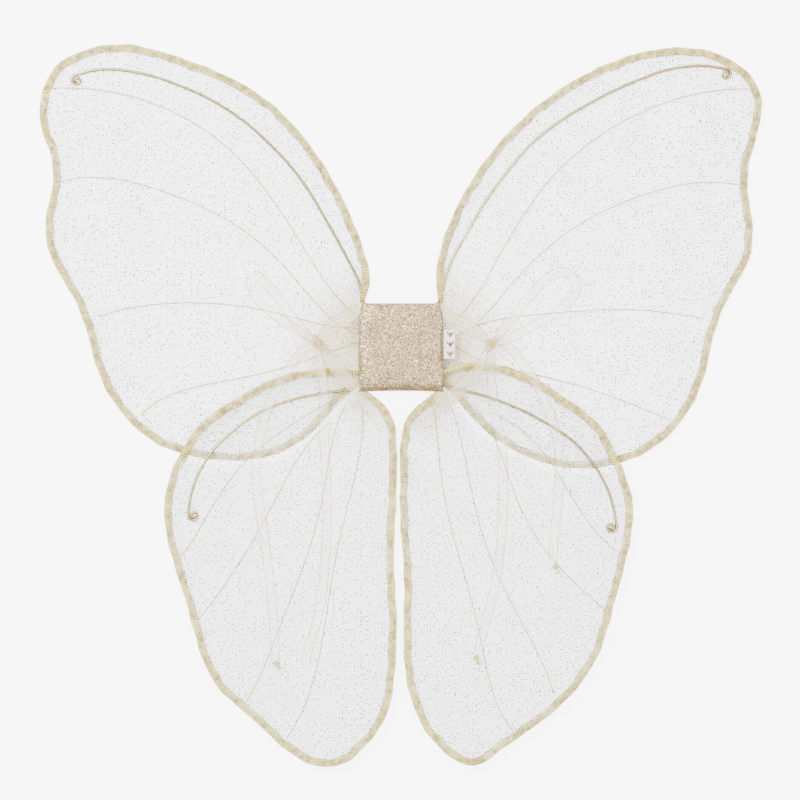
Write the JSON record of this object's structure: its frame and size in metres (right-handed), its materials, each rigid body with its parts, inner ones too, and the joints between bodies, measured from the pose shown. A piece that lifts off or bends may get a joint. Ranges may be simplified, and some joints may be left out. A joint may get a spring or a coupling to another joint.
{
  "type": "fairy wings",
  "caption": "Dress-up butterfly wings of sheer organza with stitched veins, gold edge wires and a padded centre patch, tied on with ribbons.",
  "frame": {"origin": "centre of the patch's flat back face, which lies on the surface with the wings", "axes": "+Z out of the front of the wings, +Y up the wearer's back, +X to the right as seen from the front"},
  "size_m": [0.501, 0.501, 0.011],
  "materials": {
    "organza_back": "sheer, glossy organza with glitter flecks",
    "organza_front": "sheer, glossy organza with glitter flecks",
    "hem_thread": "pale gold overlock thread, slightly shiny",
    "vein_thread": "pale gold stitching, slightly shiny",
    "gold_wire": "polished soft gold craft wire",
    "ribbon": "sheer cream ribbon with a fine gold edge thread",
    "ribbon_knot": "tied ribbon, cream with gold edge thread",
    "glitter_cloth": "rose-gold glitter cloth",
    "backing_cloth": "plain woven backing",
    "wadding": "matt polyester wadding",
    "satin_label": "pinkish white satin",
    "gold_thread": "gold topstitching thread"
  },
  "bodies": {
    "centre": {"patch_front": "glitter_cloth", "patch_back": "backing_cloth", "patch_padding": "wadding", "upper_wire_core": "gold_wire", "lower_wire_core": "gold_wire", "label_stitches": "gold_thread"},
    "left_lower_wing": {"left_lower_back_panel": "organza_back", "left_lower_front_panel": "organza_front", "left_lower_hem": "hem_thread", "left_lower_veins": "vein_thread", "left_lower_wire": "gold_wire", "left_upper_ribbon": "ribbon", "left_lower_ribbon": "ribbon", "left_knot": "ribbon_knot", "left_upper_tail_knot": "ribbon_knot"},
    "left_upper_wing": {"left_upper_back_panel": "organza_back", "left_upper_front_panel": "organza_front", "left_upper_hem": "hem_thread", "left_upper_veins": "vein_thread", "left_upper_wire": "gold_wire"},
    "right_lower_wing": {"right_lower_back_panel": "organza_back", "right_lower_front_panel": "organza_front", "right_lower_hem": "hem_thread", "right_lower_veins": "vein_thread", "right_lower_wire": "gold_wire", "right_upper_ribbon": "ribbon", "right_lower_ribbon": "ribbon", "right_knot": "ribbon_knot", "right_upper_tail_knot": "ribbon_knot", "right_lower_tail_knot": "ribbon_knot"},
    "right_upper_wing": {"right_upper_back_panel": "organza_back", "right_upper_front_panel": "organza_front", "right_upper_hem": "hem_thread", "right_upper_veins": "vein_thread", "right_upper_wire": "gold_wire"},
    "label": {"label": "satin_label"}
  },
  "joints": [
    {"name": "left_wing_fold", "type": "hinge", "parent": "centre", "child": "left_lower_wing", "pos_m": [-0.0305, 0, 0.007], "axis": [0, 1, 0], "range_deg": [-30, 60], "deforming": ["left_upper_ribbon", "left_lower_ribbon"]},
    {"name": "left_wing_spread", "type": "hinge", "parent": "left_lower_wing", "child": "left_upper_wing", "pos_m": [-0.0305, 0, 0.007], "axis": [0, 1, 0], "range_deg": [-20, 0]},
    {"name": "right_wing_fold", "type": "hinge", "parent": "centre", "child": "right_lower_wing", "pos_m": [0.0305, 0, 0.007], "axis": [0, -1, 0], "range_deg": [-30, 60], "deforming": ["right_upper_ribbon", "right_lower_ribbon"]},
    {"name": "right_wing_spread", "type": "hinge", "parent": "right_lower_wing", "child": "right_upper_wing", "pos_m": [0.0305, 0, 0.007], "axis": [0, -1, 0], "range_deg": [-20, 0]},
    {"name": "label_flap", "type": "hinge", "parent": "right_lower_wing", "child": "label", "pos_m": [0.0305, 0, 0.0076], "axis": [0, -1, 0], "range_deg": [0, 40]}
  ]
}
